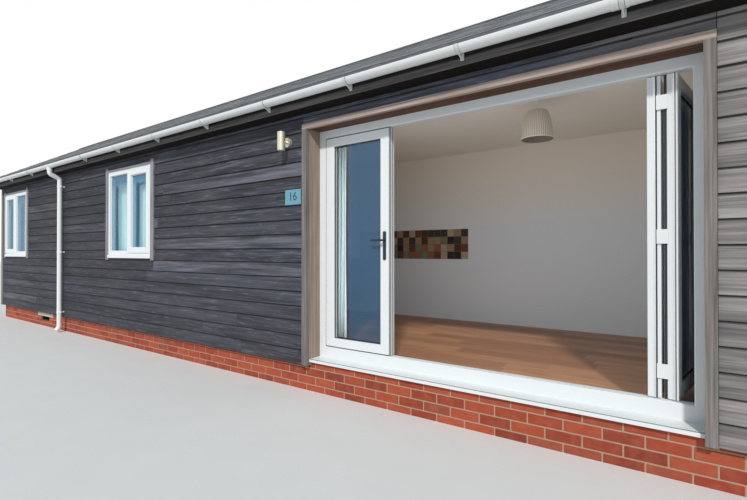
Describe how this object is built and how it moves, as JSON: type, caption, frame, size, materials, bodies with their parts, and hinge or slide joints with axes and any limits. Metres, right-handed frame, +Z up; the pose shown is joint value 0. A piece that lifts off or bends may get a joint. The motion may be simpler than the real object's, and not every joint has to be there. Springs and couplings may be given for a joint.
{
  "type": "single-storey timber cottage",
  "caption": "Long low timber-boarded cottage on a brick plinth, with a slated gable roof, white windows and a folding glass door set.",
  "frame": {"origin": "centre of the plan at the lowest level where the plinth meets the ground", "axes": "+Z up, front with the door set towards -Y, +X to the right seen from the front"},
  "size_m": [11.89, 3.598, 3.6684],
  "materials": {
    "brick": "rough",
    "concrete": "rough",
    "floor_wood": "satin",
    "plaster": "matte",
    "wall_lining": "matte",
    "slate": "matte",
    "ridge_tile": "matte",
    "dark_paint": "satin",
    "white_plastic": "gloss",
    "white_frame": "gloss",
    "weathered_wood": "rough",
    "dark_metal": "satin",
    "white_metal": "satin",
    "glass": "polished",
    "curtain_cloth": "soft",
    "lamp_shade": "soft"
  },
  "bodies": {
    "house": {"ceiling": "plaster", "door_curtain": "curtain_cloth", "door_frame": "white_frame", "door_lining_head": "weathered_wood", "door_lining_left": "weathered_wood", "door_lining_right": "weathered_wood", "door_sill": "white_frame", "floor": "floor_wood", "folding_leaf_1": "white_frame", "folding_leaf_1_glass": "glass", "folding_leaf_2": "white_frame", "folding_leaf_2_glass": "glass", "folding_leaf_3": "white_frame", "folding_leaf_3_glass": "glass", "front_downpipe": "white_plastic", "front_eaves_box": "dark_paint", "front_gutter": "white_plastic", "front_plinth": "brick", "front_roof_slope": "slate", "front_wall_left": "wall_lining", "front_wall_over_door": "wall_lining", "front_wall_right": "wall_lining", "left_barge_board": "dark_paint", "left_gable_wall": "wall_lining", "left_plinth": "brick", "left_window_casement": "white_frame", "left_window_casement_glass": "glass", "left_window_curtain": "curtain_cloth", "left_window_fixed_glass": "glass", "left_window_frame": "white_frame", "left_window_trim": "weathered_wood", "pendant_lamp": "white_metal", "pendant_shade": "lamp_shade", "rear_downpipe": "white_plastic", "rear_eaves_box": "dark_paint", "rear_gutter": "white_plastic", "rear_plinth": "brick", "rear_roof_slope": "slate", "rear_wall": "wall_lining", "ridge_capping": "ridge_tile", "right_barge_board": "dark_paint", "right_gable_wall": "wall_lining", "right_plinth": "brick", "right_window_casement": "white_frame", "right_window_casement_glass": "glass", "right_window_curtain": "curtain_cloth", "right_window_fixed_glass": "glass", "right_window_frame": "white_frame", "right_window_trim": "weathered_wood", "vent_lintel": "concrete", "wall_light": "white_metal"},
    "traffic_door": {"traffic_door": "white_frame", "traffic_door_glass": "glass", "traffic_door_handle": "dark_metal"}
  },
  "joints": [
    {"name": "traffic_door_hinge", "type": "hinge", "parent": "house", "child": "traffic_door", "pos_m": [2.6575, -1.306, 1.35], "axis": [0, 0, 1], "range_deg": [0, 90]}
  ]
}
